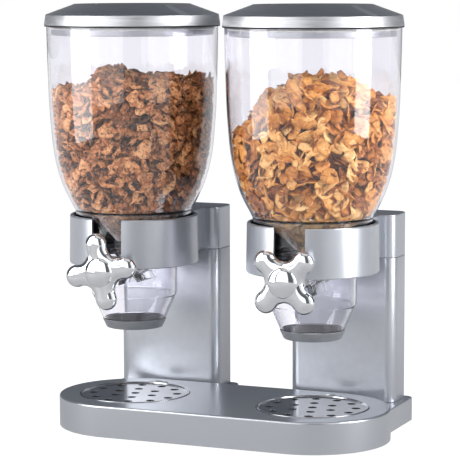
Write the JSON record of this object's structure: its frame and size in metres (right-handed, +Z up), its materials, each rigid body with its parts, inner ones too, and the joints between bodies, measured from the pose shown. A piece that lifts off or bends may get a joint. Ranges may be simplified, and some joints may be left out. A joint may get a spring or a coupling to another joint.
{
  "type": "twin cereal dispenser",
  "caption": "Twin dry-food dispenser with clear hoppers in slotted collars on columns; knobs turn paddle wheels that drop cereal over round crumb trays.",
  "frame": {"origin": "centre of the bounding box at the level of the worktop under the rubber feet", "axes": "+X to the right seen from the front, +Y to the rear, +Z up; the knobs face -Y"},
  "size_m": [0.3364, 0.1952, 0.389],
  "materials": {
    "platform_grey": "moulded plastic with glossy metallic grey paint",
    "silver_paint": "moulded plastic with satin metallic silver paint",
    "dark_plastic": "moulded black plastic",
    "clear_plastic": "clear moulded acrylic",
    "grey_plastic": "moulded grey plastic",
    "silicone": "soft translucent silicone",
    "chrome_plated": "chrome-plated plastic, polished",
    "brushed_metal": "brushed",
    "steel_screw": "turned",
    "foot_rubber": "matt black rubber"
  },
  "bodies": {
    "stand": {"base_platform": "platform_grey", "base_plate": "dark_plastic", "column_foot_left": "silver_paint", "foot_plate_left": "dark_plastic", "column_left": "silver_paint", "collar_bracket_left": "silver_paint", "rubber_foot_front_left": "foot_rubber", "rubber_foot_rear_a_left": "foot_rubber", "rubber_foot_rear_b_left": "foot_rubber", "base_screw_front_left": "steel_screw", "base_screw_middle_left": "steel_screw", "base_screw_rear_left": "steel_screw", "column_foot_right": "silver_paint", "foot_plate_right": "dark_plastic", "column_right": "silver_paint", "collar_bracket_right": "silver_paint", "rubber_foot_front_right": "foot_rubber", "rubber_foot_rear_a_right": "foot_rubber", "rubber_foot_rear_b_right": "foot_rubber", "base_screw_front_right": "steel_screw", "base_screw_middle_right": "steel_screw", "base_screw_rear_right": "steel_screw"},
    "canister_left": {"hopper_left": "clear_plastic", "funnel_left": "clear_plastic", "chute_left": "clear_plastic", "outlet_ring_left": "grey_plastic", "front_bush_left": "grey_plastic", "rear_bush_left": "grey_plastic"},
    "agitator_left": {"paddle_hub_left": "grey_plastic", "paddle_wheel_left": "silicone", "drive_shaft_left": "steel_screw", "knob_left": "chrome_plated", "knob_cap_left": "chrome_plated"},
    "lid_left": {"lid_shell_left": "brushed_metal", "lid_plug_left": "brushed_metal", "lid_seal_left": "silicone"},
    "tray_left": {"crumb_tray_left": "brushed_metal"},
    "canister_right": {"hopper_right": "clear_plastic", "funnel_right": "clear_plastic", "chute_right": "clear_plastic", "outlet_ring_right": "grey_plastic", "front_bush_right": "grey_plastic", "rear_bush_right": "grey_plastic"},
    "agitator_right": {"paddle_hub_right": "grey_plastic", "paddle_wheel_right": "silicone", "drive_shaft_right": "steel_screw", "knob_right": "chrome_plated", "knob_cap_right": "chrome_plated"},
    "lid_right": {"lid_shell_right": "brushed_metal", "lid_plug_right": "brushed_metal", "lid_seal_right": "silicone"},
    "tray_right": {"crumb_tray_right": "brushed_metal"}
  },
  "joints": [
    {"name": "canister_lift_left", "type": "slide", "parent": "stand", "child": "canister_left", "axis": [0, 0, 1], "range_m": [0, 0.13]},
    {"name": "knob_turn_left", "type": "hinge", "parent": "canister_left", "child": "agitator_left", "pos_m": [-0.088, -0.0854, 0.1515], "axis": [0, 1, 0], "continuous": true},
    {"name": "lid_lift_left", "type": "slide", "parent": "canister_left", "child": "lid_left", "axis": [0, 0, 1], "range_m": [0, 0.06]},
    {"name": "tray_lift_left", "type": "slide", "parent": "stand", "child": "tray_left", "axis": [0, 0, 1], "range_m": [0, 0.025]},
    {"name": "canister_lift_right", "type": "slide", "parent": "stand", "child": "canister_right", "axis": [0, 0, 1], "range_m": [0, 0.13]},
    {"name": "knob_turn_right", "type": "hinge", "parent": "canister_right", "child": "agitator_right", "pos_m": [0.088, -0.0854, 0.1515], "axis": [0, 1, 0], "continuous": true},
    {"name": "lid_lift_right", "type": "slide", "parent": "canister_right", "child": "lid_right", "axis": [0, 0, 1], "range_m": [0, 0.06]},
    {"name": "tray_lift_right", "type": "slide", "parent": "stand", "child": "tray_right", "axis": [0, 0, 1], "range_m": [0, 0.025]}
  ]
}
